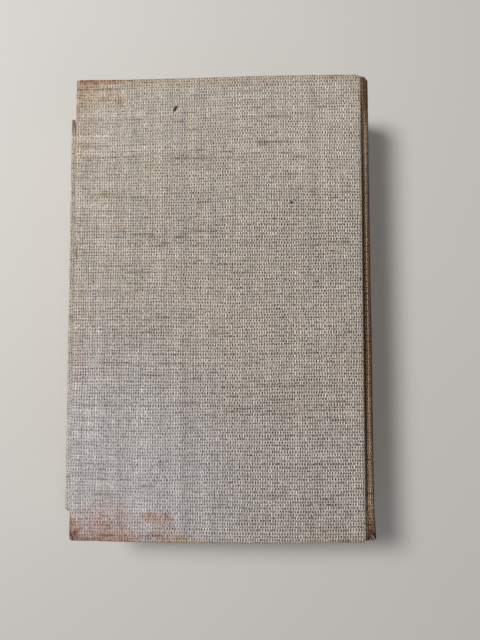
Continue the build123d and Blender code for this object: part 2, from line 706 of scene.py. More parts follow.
@dataclass(frozen=True)
class OldPaper:
    """Plain cream endpaper with fibres, foxing and darker margins."""

    name: str
    sheet: Colour = paint(226, 212, 182)
    cloud: Colour = (0.82, 0.74, 0.6)
    fibre: Colour = (0.93, 0.9, 0.85)
    margin: Colour = (0.84, 0.72, 0.54)
    fox: Colour = (0.8, 0.6, 0.38)
    margin_zone: Zone = (74 * MM, 98 * MM)
    margin_waver: float = 30 * MM
    relief_deep: float = 0.02 * MM

    def make(self) -> bpy.types.Material:
        """Build the material of the endpapers."""
        g = Graph(self.name)
        flat = g.place()
        x, y, _ = g.apart(flat)
        fibre = g.noise(g.point(x * 900.0, y * 2600.0), 1.0, 4.0, 0.7)
        cloud = g.noise(flat, 24.0, 4.0, 0.6)
        colour = g.tint(self.sheet, self.cloud, cloud.ease(0.42, 0.75) * 0.6)
        colour = g.tint(colour, self.fibre, fibre.ease(0.4, 0.7))
        edge = (abs(y) + cloud.swing(self.margin_waver)).ease(*self.margin_zone)
        colour = g.tint(colour, self.margin, edge)
        spots = g.noise(flat, 210.0, 3.0).ease(0.66, 0.73)
        colour = g.tint(colour, self.fox, spots * 0.6)
        rough = 0.86 + fibre.swing(0.1)
        return g.surface(colour, rough, fibre, self.relief_deep, Specular_IOR_Level=0.3)


@dataclass(frozen=True)
class Greyboard:
    """Pressed board with flecks of straw and lint."""

    name: str = "grey_board"
    dark: Colour = paint(150, 136, 116)
    pale: Colour = paint(182, 168, 146)
    straw: Colour = paint(96, 82, 66)
    relief_deep: float = 0.05 * MM

    def make(self) -> bpy.types.Material:
        """Build the material of the boards and the spine inlay."""
        g = Graph(self.name)
        flat = g.place()
        lint = g.noise(flat, 700.0, 4.0, 0.7)
        fleck = g.noise(flat, 2100.0, 2.0).ease(0.62, 0.72)
        colour = g.mix(self.dark, self.pale, lint.ease(0.35, 0.65))
        colour = g.mix(colour, self.straw, fleck * 0.7)
        return g.surface(colour, 0.9 - lint * 0.06, lint, self.relief_deep, Specular_IOR_Level=0.25)


@dataclass(frozen=True)
class Mull:
    """Open glued gauze of the spine lining."""

    name: str = "spine_mull"
    gap: Colour = paint(148, 122, 84)
    thread: Colour = paint(214, 200, 170)
    glue: Colour = (0.78, 0.62, 0.4)
    pitch: float = 0.9 * MM
    slant: float = 0.4
    relief_deep: float = 0.1 * MM

    def make(self) -> bpy.types.Material:
        """Build the material of the spine lining."""
        g = Graph(self.name)
        x, y, z = g.apart(g.place())
        cross, level = (y / self.pitch).ridge(), ((z + x * self.slant) / self.pitch).ridge()
        thread = cross.math("MAXIMUM", level)
        colour = g.mix(self.gap, self.thread, thread.ease(0.5, 0.9))
        glue = g.noise(g.place(), 260.0, 3.0)
        colour = g.tint(colour, self.glue, glue.ease(0.45, 0.7) * 0.7)
        return g.surface(colour, 0.55 + glue * 0.4, thread, self.relief_deep, Specular_IOR_Level=0.35)


@dataclass(frozen=True)
class BandCotton:
    """Plain undyed cotton wound round the head and tail bands."""

    name: str = "band_cotton"
    gap: Colour = paint(120, 104, 82)
    thread: Colour = paint(206, 192, 164)
    grime: Colour = (0.8, 0.7, 0.56)
    pitch: float = 0.42 * MM
    slant: float = 0.35
    relief_deep: float = 0.12 * MM

    def make(self) -> bpy.types.Material:
        """Build the material of the end bands."""
        g = Graph(self.name)
        x, _, z = g.apart(g.place())
        ridge = ((z + x * self.slant) / self.pitch).ridge()
        grime = g.noise(g.place(), 500.0, 3.0)
        colour = g.mix(self.gap, self.thread, ridge.ease(0.1, 0.8))
        colour = g.tint(colour, self.grime, grime.ease(0.45, 0.7))
        return g.surface(colour, 0.85 - grime * 0.1, ridge, self.relief_deep, Sheen_Weight=0.1)


@dataclass(frozen=True)
class LooseFlax:
    """Bare flax fibres that have come out of the weave."""

    name: str = "loose_flax"
    dark: Colour = paint(104, 90, 74)
    pale: Colour = paint(172, 158, 140)
    relief_deep: float = 0.03 * MM

    def make(self) -> bpy.types.Material:
        """Build the material of the loose threads."""
        g = Graph(self.name)
        fibre = g.noise(g.place(), 2600.0, 3.0, 0.6)
        colour = g.mix(self.dark, self.pale, fibre.ease(0.35, 0.6))
        rough = 0.9 - fibre * 0.1
        return g.surface(
            colour, rough, fibre, self.relief_deep, Sheen_Weight=0.1, Specular_IOR_Level=0.25
        )


@dataclass(frozen=True)
class StudioFloor:
    """Plain pale matt floor."""

    name: str = "studio_floor"
    pale: Colour = paint(214, 211, 206)
    cloud: Colour = (0.975, 0.975, 0.975)
    relief_deep: float = 0.01 * MM

    def make(self) -> bpy.types.Material:
        """Build the material of the floor."""
        g = Graph(self.name)
        cloud = g.noise(g.place(), 5.0, 3.0)
        colour = g.tint(self.pale, self.cloud, cloud)
        return g.surface(colour, 0.8 + cloud * 0.1, cloud, self.relief_deep, Specular_IOR_Level=0.2)


@dataclass
class Layout:
    """The book's main lines in metres, from the frame; plane points are (x, z)."""

    cloth: float = 0.4 * MM
    turn_in: float = 14.0 * MM
    spine_stack: float = 1.5 * MM
    hinge_proud: float = 0.5 * MM
    spine_round: float = 4.0 * MM
    fore_hollow: float = 3.4 * MM
    groove_floor: float = 1.6 * MM
    groove_cloth: float = 0.2 * MM
    brow_shift: float = 0.35 * MM
    bend_run: float = 1.2 * MM
    bend_shares: tuple[float, float] = (-0.9, 0.43)
    back_radius: float = field(init=False)
    back_centre: Vector = field(init=False)
    low_angle: float = field(init=False)
    top_angle: float = field(init=False)

    def __post_init__(self) -> None:
        """Work out the arc of the rounded back."""
        top, low = self.crest(Side.BACK), self.crest(Side.FRONT)
        self.back_centre, self.back_radius = self.arc(low, top, self.spine_round)
        top_way, low_way = top - self.back_centre, low - self.back_centre
        self.top_angle = math.atan2(top_way.y, top_way.x)
        self.low_angle = math.atan2(low_way.y, low_way.x)

    @staticmethod
    def arc(low: Vector, top: Vector, rise: float) -> tuple[Vector, float]:
        """Return the centre and radius of an arc that bulges towards the spine.

        Args:
            low: Its lower end.
            top: Its upper end.
            rise: How far its middle stands off the straight line.

        Returns:
            The centre and the radius.
        """
        chord = top - low
        radius = chord.length_squared / (8 * rise) + rise / 2
        out = Vector((chord.y, -chord.x)).normalized()
        return (top + low) / 2 - out * (radius - rise), radius

    def crest(self, side: Side) -> Vector:
        """Return the crest of the shoulder by this cover's hinge."""
        joint = next(j for j in frame["joints"] if j["child"] == side.body)
        x, _, z = joint["pos_m"]
        return Vector((x, z - side.up * (self.hinge_proud + self.spine_stack)))

    def joint_edge(self, side: Side) -> float:
        """Return the x of the covered edge of this board, at the groove."""
        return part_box(side.named("board"))[1].x + self.cloth

    def outer_face(self, side: Side) -> float:
        """Return the z of this cover's outside."""
        low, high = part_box(side.named("board"))
        return high.z + self.cloth if side is Side.BACK else low.z - self.cloth

    def inner_face(self, side: Side) -> float:
        """Return the z of the cloth turned in on this cover's inside."""
        low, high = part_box(side.named("board"))
        return low.z - self.cloth if side is Side.BACK else high.z + self.cloth

    def cover_size(self, side: Side) -> Vector:
        """Return the covered board's width, height and thickness."""
        low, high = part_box(side.named("board"))
        return high - low + Vector((1.0, 1.0, 1.0)) * (2 * self.cloth)

    def on_back(self, share: float, offset: float) -> Vector:
        """Return a point of the rounded back.

        Args:
            share: 0 at the lower crest and 1 at the upper one.
            offset: How far outside the leaves.

        Returns:
            The point.
        """
        angle = self.low_angle + (self.top_angle - self.low_angle) * share
        way = Vector((math.cos(angle), math.sin(angle)))
        return self.back_centre + way * (self.back_radius + offset)

    def shoulder_line(self, side: Side, inset: float, steps: int) -> list[Vector]:
        """Return points from the top of the crest down to the floor of the groove.

        Args:
            side: The cover's side.
            inset: How far under the outside of the cloth.
            steps: The number of steps.

        Returns:
            The points, the crest first.
        """
        crest, floor_x = self.crest(side), self.joint_edge(side) + self.groove_floor
        brow_x = crest.x + self.brow_shift
        brow_z = crest.y + side.up * (self.brow_rise() - inset)
        floor_z = self.inner_face(side) + side.up * (self.groove_cloth - inset)
        points = []
        for step in range(steps + 1):
            share = step / steps
            drop = (1 - math.cos(math.pi * share)) / 2
            points.append(Vector((brow_x + (floor_x - brow_x) * share, brow_z + (floor_z - brow_z) * drop)))
        return points

    def brow_rise(self) -> float:
        """Return how far the cloth's highest line stands over the middle of the crest."""
        return math.sqrt(self.spine_stack**2 - self.brow_shift**2)

    def bend(self, side: Side) -> tuple[Vector, Vector]:
        """Return the two points between which cloth and paper bend at this hinge."""
        crest, (aside, over) = self.crest(side), self.bend_shares
        start = Vector((crest.x + self.brow_shift, 0.0, crest.y + side.up * self.brow_rise()))
        return start, start + Vector((aside, 0.0, over * side.up)) * self.bend_run


class Work:
    """A bmesh in progress, with the steps that several pieces share."""

    def __init__(self) -> None:
        """Start an empty mesh with a place for flat cloth."""
        self.mesh = bmesh.new()
        self.flat = self.mesh.loops.layers.uv.new("cloth")
        self.across = self.mesh.verts.layers.float.new("across")
        self.along = self.mesh.verts.layers.float.new("along")
        self.corner = self.mesh.verts.layers.int.new("corner")

    def cut(self, way: Vector, places: Iterable[float]) -> None:
        """Cut the whole mesh by planes.

        Args:
            way: The planes' common normal.
            places: Their distances from the origin.
        """
        for place in places:
            geom = [*self.mesh.verts, *self.mesh.edges, *self.mesh.faces]
            bmesh.ops.bisect_plane(self.mesh, geom=geom, dist=CUT_SNAP, plane_co=way * place, plane_no=way)

    def bevel(self, edges: list[bmesh.types.BMEdge], radius: float, segments: int) -> None:
        """Round edges off.

        Args:
            edges: The edges.
            radius: How far they are cut back.
            segments: The number of faces across each.
        """
        bmesh.ops.bevel(
            self.mesh,
            geom=edges,
            offset=radius,
            segments=segments,
            profile=0.5,
            affect="EDGES",
            material=-1,
        )

    def line(self, points: Sequence[Vector], y: float) -> list[bmesh.types.BMEdge]:
        """Start a sheet with one line of edges.

        Args:
            points: The (x, z) points of the line.
            y: Where the line lies.

        Returns:
            The edges.
        """
        verts = []
        for point, run in zip(points, runs(points)):
            vert = self.mesh.verts.new((point.x, y, point.y))
            vert[self.across] = run
            vert[self.along] = y
            verts.append(vert)
        return [self.mesh.edges.new(pair) for pair in zip(verts, verts[1:])]

    def grow(
        self, edges: list[bmesh.types.BMEdge]
    ) -> tuple[list[bmesh.types.BMEdge], list[bmesh.types.BMVert]]:
        """Extrude edges in place.

        Args:
            edges: The edges to extrude.

        Returns:
            The new edges and the new vertices.
        """
        made = bmesh.ops.extrude_edge_only(self.mesh, edges=edges)["geom"]
        verts = [item for item in made if isinstance(item, bmesh.types.BMVert)]
        fresh = set(verts)
        lines = [item for item in made if isinstance(item, bmesh.types.BMEdge)]
        return [line for line in lines if fresh.issuperset(line.verts)], verts

    def carry(self, edges: list[bmesh.types.BMEdge], length: float, rows: int) -> list[bmesh.types.BMEdge]:
        """Carry a line of edges along Y.

        Args:
            edges: The line.
            length: How far it is carried.
            rows: The number of even steps.

        Returns:
            The line's last edges.
        """
        for _ in range(rows):
            edges, verts = self.grow(edges)
            bmesh.ops.translate(self.mesh, verts=verts, vec=Y_AXIS * (length / rows))
            for vert in verts:
                vert[self.along] = vert.co.y
        return edges

    def lay_flat(self, shift: float = 0.0) -> None:
        """Write each corner's place on the flat cloth from its vertex.

        Args:
            shift: How far the piece is moved across the flat cloth.
        """
        for face in self.mesh.faces:
            for loop in face.loops:
                loop[self.flat].uv = (loop.vert[self.across] + shift, loop.vert[self.along])

    def thicken(self, thick: float, out: Callable[[Vector], Vector]) -> None:
        """Give a sheet its thickness on the side away from its outside.

        Args:
            thick: The thickness.
            out: The outward way at a point.
        """
        self.mesh.normal_update()
        faces = self.mesh.faces
        facing = sum(f.normal.dot(out(f.calc_center_median())) * f.calc_area() for f in faces)
        if facing < 0:
            bmesh.ops.reverse_faces(self.mesh, faces=faces)
        self.mesh.normal_update()
        made = bmesh.ops.extrude_face_region(self.mesh, geom=self.mesh.faces[:])["geom"]
        for vert in [item for item in made if isinstance(item, bmesh.types.BMVert)]:
            vert.co -= vert.normal * thick

    def close_ends(self) -> None:
        """Close every open rim with a face."""
        rims = [edge for edge in self.mesh.edges if edge.is_boundary]
        bmesh.ops.holes_fill(self.mesh, edges=rims, sides=0)

    def data(self, name: str, material: bpy.types.Material) -> bpy.types.Mesh:
        """Turn the mesh in progress into a finished one.

        Args:
            name: The mesh's name.
            material: Its finish.

        Returns:
            The finished mesh.
        """
        data = bpy.data.meshes.new(name)
        self.mesh.to_mesh(data)
        self.mesh.free()
        data.materials.append(material)
        return data

    def piece(
        self, name: str, material: bpy.types.Material, slot: str, sharp: float = 40.0
    ) -> bpy.types.Object:
        """Turn the mesh into a shown object.

        Args:
            name: The piece's name.
            material: Its finish.
            slot: Not used.
            sharp: The angle in degrees past which an edge stays sharp.

        Returns:
            The object.
        """
        bmesh.ops.recalc_face_normals(self.mesh, faces=self.mesh.faces)
        for face in self.mesh.faces:
            face.smooth = True
        data = self.data(name, material)
        data.set_sharp_from_angle(angle=math.radians(sharp))
        shown = show(name, data)
        LOG.info("%s has %d faces", name, len(data.polygons))
        return shown


@dataclass
class CoverWrap:
    """The linen round one board: its outside, its rounded edges and the strips turned in.

    Attributes:
        turn_step: How far the bare board lies under the strips turned in.
        turn_edge: The width of the step down from them.
        swell_wide: The size of one swell of the faces.
        rub_wide: The size of one worn dent in the edges.
        head_spread: How far the slack cloth reaches past the head.
        head_shares: Where that starts and is full, as shares of the width from the fore-edge.
    """

    layout: Layout
    side: Side
    head_corner: float = 0.8 * MM
    tail_corner: float = 1.4 * MM
    joint_corner: float = 1.9 * MM
    corner_cuts: int = 5
    edge: float = 0.95 * MM
    edge_cuts: int = 4
    turn_step: float = 0.35 * MM
    turn_edge: float = 0.4 * MM
    rim_cuts: tuple[float, ...] = (2.0 * MM, 3.4 * MM, 5.0 * MM, 7.0 * MM, 9.5 * MM)
    mesh_step: float = 2.6 * MM
    inside_normal: float = -0.7
    swell_wide: float = 33 * MM
    swell_high: float = 0.07 * MM
    swell_rim: float = 6 * MM
    rub_wide: float = 5.5 * MM
    rub_high: float = 0.13 * MM
    rub_zone: Zone = (0.4 * MM, 2.2 * MM)
    rub_stretch: float = 1.3
    head_spread: float = 0.9 * MM
    head_shares: Zone = (0.15, 0.8)
    tail_spread: float = 0.7 * MM
    tail_shares: Zone = (0.02, 0.4)
    tail_stop_shares: Zone = (0.6, 0.95)
    joint_spread: float = 0.45 * MM
    joint_shares: Zone = (-0.75, 0.95)

    def slab(self, work: Work) -> Vector:
        """Make the rounded slab, its joint edge at x 0 and its outside at z 0.

        Args:
            work: The mesh in progress.

        Returns:
            The slab's size.
        """
        size = self.layout.cover_size(self.side)
        bm = work.mesh
        bmesh.ops.create_cube(bm, size=1.0)
        bmesh.ops.scale(bm, vec=size, verts=bm.verts)
        bmesh.ops.translate(bm, vec=(-size.x / 2, 0.0, -size.z / 2), verts=bm.verts)
        upright = [e for e in bm.edges if abs(e.verts[0].co.z - e.verts[1].co.z) > size.z / 2]
        joint = [e for e in upright if e.verts[0].co.x > -size.x / 2]
        head = [e for e in upright if e not in joint and e.verts[0].co.y > 0]
        tail = [e for e in upright if e not in joint and e.verts[0].co.y < 0]
        corners = ((head, self.head_corner), (tail, self.tail_corner), (joint, self.joint_corner))
        for edges, radius in corners:
            work.bevel(edges, radius, self.corner_cuts)
        rims = [e for e in bm.edges if abs(e.verts[0].co.z - e.verts[1].co.z) < HAIR]
        work.bevel(rims, self.edge, self.edge_cuts)
        return size

    def places(self, length: float, start: float) -> list[float]:
        """Return where to cut the slab across one way.

        Args:
            length: The slab's length that way.
            start: Its lower end.

        Returns:
            The cuts: close at both edges and at the turned-in strips, even between.
        """
        turn_in = self.layout.turn_in
        close = [*self.rim_cuts, turn_in, turn_in + self.turn_edge]
        inner = length - 2 * close[-1]
        count = round(inner / self.mesh_step)
        even = [close[-1] + inner * step / count for step in range(1, count)]
        return [start + place for place in [*close, *even, *(length - place for place in reversed(close))]]

    def lay_flat(self, work: Work, size: Vector) -> None:
        """Unfold the slab's faces round the edges of its outside, as the cloth was cut.

        Args:
            work: The mesh in progress.
            size: The slab's size.
        """
        middle, half = -size.x / 2, size.y / 2
        work.mesh.normal_update()
        for face in work.mesh.faces:
            normal, centre = face.normal, face.calc_center_median()
            gaps = {
                "fore": centre.x + size.x,
                "head": half - centre.y,
                "tail": half + centre.y,
                "joint": -centre.x,
            }
            inside = normal.z < self.inside_normal
            near = min(gaps, key=gaps.get)
            if not inside and abs(normal.x) > abs(normal.y):
                near = "fore" if normal.x < 0 else "joint"
            elif not inside:
                near = "head" if normal.y > 0 else "tail"
            for loop in face.loops:
                x, y, z = loop.vert.co
                over = -z
                u, v = x - middle, y
                if near == "fore":
                    u = middle - size.z - (x + size.x) if inside else u - over
                elif near == "joint":
                    u = -middle + size.z - x if inside else u + over
                elif near == "head":
                    v = half + size.z + (half - y) if inside else y + over
                else:
                    v = -half - size.z - (half + y) if inside else y - over
                loop[work.flat].uv = (u, v)

    def age(self, work: Work, size: Vector) -> None:
        """Sink the middle of the inside, and make the faces and edges a little uneven.

        Args:
            work: The mesh in progress.
            size: The slab's size.
        """
        work.mesh.normal_update()
        seed = Vector((3.1, 1.7, 0.4)) * self.side.up
        moves = []
        for vert in work.mesh.verts:
            spot = vert.co
            rim = min(spot.x + size.x, size.y / 2 - abs(spot.y))
            sunk = spot.z < -size.z + HAIR and rim > self.layout.turn_in + self.turn_edge / 2
            swell = uneven(spot + seed, self.swell_wide) * self.swell_high * ease(rim, 0.0, self.swell_rim)
            worn = self.rub_high * (1 - ease(rim, *self.rub_zone))
            rub = uneven(spot * self.rub_stretch + seed, self.rub_wide) * worn
            moves.append(vert.normal * (swell + rub) + Vector((0.0, 0.0, self.turn_step if sunk else 0.0)))
        for vert, move in zip(work.mesh.verts, moves):
            vert.co += move

    def spread(self, work: Work, size: Vector) -> None:
        """Let the slack cloth spread a little past the head, the tail and the joint.

        Args:
            work: The mesh in progress.
            size: The slab's size.
        """
        for vert in work.mesh.verts:
            place, far = 1 + vert.co.x / size.x, vert.co.y / (size.y / 2)
            head = self.head_spread * ease(place, *self.head_shares)
            tail = self.tail_spread * ease(place, *self.tail_shares)
            tail *= 1 - ease(place, *self.tail_stop_shares)
            joint = self.joint_spread * ease(far, *self.joint_shares)
            vert.co.y += far * (head if far > 0 else tail)
            vert.co.x += place * joint

    def build(self, linen: bpy.types.Material) -> bpy.types.Object:
        """Build the wrap and let it move with its cover.

        Args:
            linen: Its finish.

        Returns:
            The object.
        """
        work, turn_in = Work(), self.layout.turn_in
        size = self.slab(work)
        work.cut(X_AXIS, self.places(size.x, -size.x))
        work.cut(Y_AXIS, self.places(size.y, -size.y / 2))
        self.lay_flat(work, size)
        self.age(work, size)
        self.spread(work, size)
        edge = Vector((self.layout.joint_edge(self.side), 0.0, self.layout.outer_face(self.side)))
        place = Matrix.Translation(edge) @ Matrix.Diagonal((1.0, 1.0, self.side.up, 1.0))
        work.mesh.transform(place)
        shown = work.piece(self.side.named("cover_linen"), linen, "cloth", 50.0)
        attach(shown, self.side.body)
        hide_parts(self.side.named("cover_cloth"))
        self.side.named("board")
        return shown


# Where each half of the spine's linen starts on the flat cloth, in millimetres.
SPINE_START = {Side.BACK: 300.0, Side.FRONT: 600.0}


@dataclass
class SpineLinen:
    """The linen from one board's groove over its shoulder to the middle of the spine.

    Attributes:
        fold_row: The length of flat cloth in one step of the fold at an end.
        wall_tuck: How far the cloth reaches past the edge of the board.
        bridge_rise: How far over the cloth's edge the bridged cloth meets the board.
        bridge_zone: How far from an end the bridge is full, and where it is least.
        bridge_loss: The share of the bridge that is lost between them.
        crush_deep: How far up from the tail the spine is crushed.
        draw_deep: How far down from the head the cloth is drawn up.
        ripple_wide: The size of one ripple across the spine.
        pucker_wide: The size of one pucker of its surface.
    """

    layout: Layout
    side: Side
    thick: float = 0.18 * MM
    end_gap: float = 0.25 * MM
    fold_at_spine: float = 1.1 * MM
    fold_at_groove: float = 0.4 * MM
    fold_deep: float = 3.4 * MM
    fold_row: float = 0.5 * MM
    fold_steps: int = 6
    fold_zone: Zone = (-4.0 * MM, -0.6 * MM)
    arc_steps: int = 18
    crest_steps: int = 8
    joint_steps: int = 12
    floor_steps: int = 9
    floor_run: float = 0.9 * MM
    wall_steps: int = 12
    wall_tuck: float = 0.35 * MM
    wall_rise: float = 1.2 * MM
    rows: int = 64
    bridge_rise: float = 0.9 * MM
    bridge_zone: Zone = (3 * MM, 15 * MM)
    bridge_loss: float = 0.75
    bridge_run: Zone = (-0.1 * MM, 0.9 * MM)
    crush_deep: float = 13 * MM
    crush_wide: float = 0.5 * MM
    crush_share: float = 0.4
    crush_full: float = -1.2 * MM
    crush_stop: Zone = (-0.6 * MM, 0.8 * MM)
    draw_deep: float = 12 * MM
    draw_up: float = 1.1 * MM
    draw_run: Zone = (-0.6 * MM, 2.2 * MM)
    ripple_wide: float = 17 * MM
    ripple_high: float = 0.12 * MM
    pucker_wide: float = 4.5 * MM
    pucker_high: float = 0.2 * MM

    def profile(self) -> list[Vector]:
        """Return the outside of the cloth, from the middle of the spine to the board."""
        lay, up = self.layout, self.side.up
        crest, stack = lay.crest(self.side), lay.spine_stack
        half = 0.5 if self.side is Side.BACK else -0.5
        points = [lay.on_back(0.5 + half * i / self.arc_steps, stack) for i in range(self.arc_steps + 1)]
        start = lay.top_angle if self.side is Side.BACK else lay.low_angle
        stop = up * math.acos(lay.brow_shift / stack)
        for step in range(1, self.crest_steps + 1):
            angle = start + (stop - start) * step / self.crest_steps
            points.append(crest + Vector((math.cos(angle), math.sin(angle))) * stack)
        points += lay.shoulder_line(self.side, 0.0, self.joint_steps)[1:]
        for _ in range(self.floor_steps):
            points.append(points[-1] - X_AXIS.xz * (self.floor_run / self.floor_steps))
        floor = points[-1]
        wall = Vector((lay.joint_edge(self.side) - self.wall_tuck, floor.y + up * self.wall_rise))
        for step in range(1, self.wall_steps + 1):
            angle = math.pi / 2 * step / self.wall_steps
            x = floor.x + (wall.x - floor.x) * math.sin(angle)
            z = floor.y + (wall.y - floor.y) * (1 - math.cos(angle))
            points.append(Vector((x, z)))
        return points

    def normals(self, points: list[Vector]) -> list[Vector]:
        """Return the outward way at each point of the profile."""
        ways = []
        for number in range(len(points)):
            tangent = points[min(number + 1, len(points) - 1)] - points[max(number - 1, 0)]
            ways.append(Vector((tangent.y, -tangent.x)).normalized() * self.side.up)
        return ways

    def fold(self, work: Work, edges: list[bmesh.types.BMEdge], end: End, points: list[Vector]) -> None:
        """Fold one end of the cloth inwards.

        Args:
            work: The mesh in progress.
            edges: The line of edges at that end.
            end: Head or tail.
            points: The cloth's profile.
        """
        far, normals = runs(points), self.normals(points)
        brow = far[self.arc_steps + self.crest_steps]
        zone = [brow + place for place in self.fold_zone]
        base = {}
        for vert in {v for edge in edges for v in edge.verts}:
            number = min(range(len(far)), key=lambda i: abs(far[i] - vert[work.across]))
            base[round(vert[work.across], 9)] = (vert.co.copy(), normals[number])
        turns = [math.pi * step / self.fold_steps for step in range(1, self.fold_steps + 1)]
        for row, turn in enumerate([*turns, None], 1):
            edges, verts = work.grow(edges)
            for vert in verts:
                start, normal = base[round(vert[work.across], 9)]
                share = ease(vert[work.across], *zone)
                radius = (self.fold_at_spine + (self.fold_at_groove - self.fold_at_spine) * share) / 2
                reach = math.sin(turn) * radius if turn is not None else -self.fold_deep
                sink = (1 - math.cos(turn)) * radius if turn is not None else 2 * radius
                vert.co = start + Vector((-normal.x * sink, end.value * reach, -normal.y * sink))
                vert[work.along] = start.y + end.value * row * self.fold_row

    def wear(self, work: Work, half: float) -> None:
        """Bridge the groove at both ends, spread the crushed tail, draw up the head and pucker it all.

        Args:
            work: The mesh in progress.
            half: Half the height of the unfolded cloth.
        """
        points, up = self.profile(), self.side.up
        edge = self.arc_steps + self.crest_steps
        brow = runs(points)[edge]
        bridge_run, crush_stop, draw_run = (
            [brow + place for place in zone] for zone in (self.bridge_run, self.crush_stop, self.draw_run)
        )
        ridge, board = points[edge], points[-1] + Vector((0.0, up * self.bridge_rise))
        for vert in work.mesh.verts:
            run, spot = vert[work.across], vert.co.copy()
            near = 1 - ease(half - abs(spot.y), *self.bridge_zone) * self.bridge_loss
            tail = 1 - ease(half + spot.y, 0.0, self.crush_deep)
            span = ridge.y + (board.y - ridge.y) * (ridge.x - spot.x) / (ridge.x - board.x)
            lift = max(0.0, up * (span - spot.z)) * ease(run, *bridge_run)
            pucker = uneven(spot, self.pucker_wide) * self.pucker_high
            crushed = ease(run, brow * self.crush_share, brow + self.crush_full)
            crushed *= 1 - ease(run, *crush_stop)
            drawn = ease(spot.y, half - self.draw_deep, half) * ease(run, *draw_run)
            vert.co.x += uneven(spot + Vector((0.9, 0.2, 0.5)), self.ripple_wide) * self.ripple_high
            vert.co.x += tail * crushed * self.crush_wide
            vert.co.y += drawn * self.draw_up
            vert.co.z += up * near * (lift + pucker)

    def build(self, linen: bpy.types.Material, fray: Sequence[bpy.types.Object]) -> bpy.types.Object:
        """Build this half of the spine's linen.

        Args:
            linen: Its finish.
            fray: Not used.

        Returns:
            The object.
        """
        work, points = Work(), self.profile()
        half = self.layout.cover_size(self.side).y / 2 - self.fold_at_spine / 2 - self.end_gap
        first = work.line(points, -half)
        last = work.carry(first, 2 * half, self.rows)
        self.wear(work, half)
        self.fold(work, first, End.TAIL, points)
        self.fold(work, last, End.HEAD, points)
        centre = self.layout.back_centre
        work.thicken(self.thick, lambda spot: spot - Vector((centre.x, spot.y, centre.y)))
        work.lay_flat(SPINE_START[self.side] * MM)
        shown = work.piece(self.side.named("spine_linen"), linen, "cloth", 60.0)
        self.side.body
        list(self.layout.bend(self.side))
        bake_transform(shown)
        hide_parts("spine_cloth")
        cut = (runs(points)[-1], 2 * (half + math.pi * self.fold_at_spine / 2 + self.fold_deep))
        return shown


@dataclass(frozen=True)
class Strand:
    """One loose thread: its start in millimetres, its way and its curl in degrees at each step."""

    start: tuple[float, float, float]
    way: tuple[float, float, float]
    axis: tuple[float, float, float]
    curl: float
    steps: int


@dataclass
class TailFray:
    """The few threads that stand out of the worn tail of the spine by the back cover."""

    radius: float = 0.19 * MM
    sides: int = 7
    step: float = 0.3 * MM
    taper_share: float = 0.97
    tip_share: float = 0.6
    strands: tuple[Strand, ...] = (
        Strand((67.2, -92.4, 36.5), (0.25, -0.6, 0.75), (1.0, 0.1, 0.0), 13.0, 13),
        Strand((67.9, -93.0, 36.3), (0.2, -0.8, 0.6), (0.8, 0.2, 0.5), 12.0, 9),
        Strand((66.6, -93.4, 36.6), (0.1, -0.7, 0.7), (0.7, 0.3, -0.6), 13.0, 8),
    )

    def draw(self, work: Work, strand: Strand) -> None:
        """Draw one small round out into a thread, turn by turn.

        Args:
            work: The mesh in progress.
            strand: The thread.
        """
        bm, way, at = work.mesh, Vector(strand.way).normalized(), Vector(strand.start) * MM
        place = Matrix.Translation(at) @ way.to_track_quat("Z", "Y").to_matrix().to_4x4()
        ring = bmesh.ops.create_circle(bm, segments=self.sides, radius=self.radius, matrix=place)["verts"]
        edges = list({edge for vert in ring for edge in vert.link_edges})
        turn = Matrix.Rotation(math.radians(strand.curl), 3, Vector(strand.axis).normalized())
        for number in range(1, strand.steps + 1):
            edges, verts = work.grow(edges)
            way = turn @ way
            bmesh.ops.rotate(bm, verts=verts, cent=at, matrix=turn)
            at = at + way * self.step
            bmesh.ops.translate(bm, verts=verts, vec=way * self.step)
            thin = self.tip_share if number == strand.steps else self.taper_share
            bmesh.ops.scale(bm, verts=verts, vec=(thin, thin, thin), space=Matrix.Translation(-at))

    def build(self, flax: bpy.types.Material) -> bpy.types.Object:
        """Build the threads.

        Args:
            flax: Their finish.

        Returns:
            The object.
        """
        work = Work()
        for strand in self.strands:
            self.draw(work, strand)
        work.close_ends()
        shown = work.piece("spine_tail_fray", flax, "cloth")
        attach(shown, "leaves")
        return shown


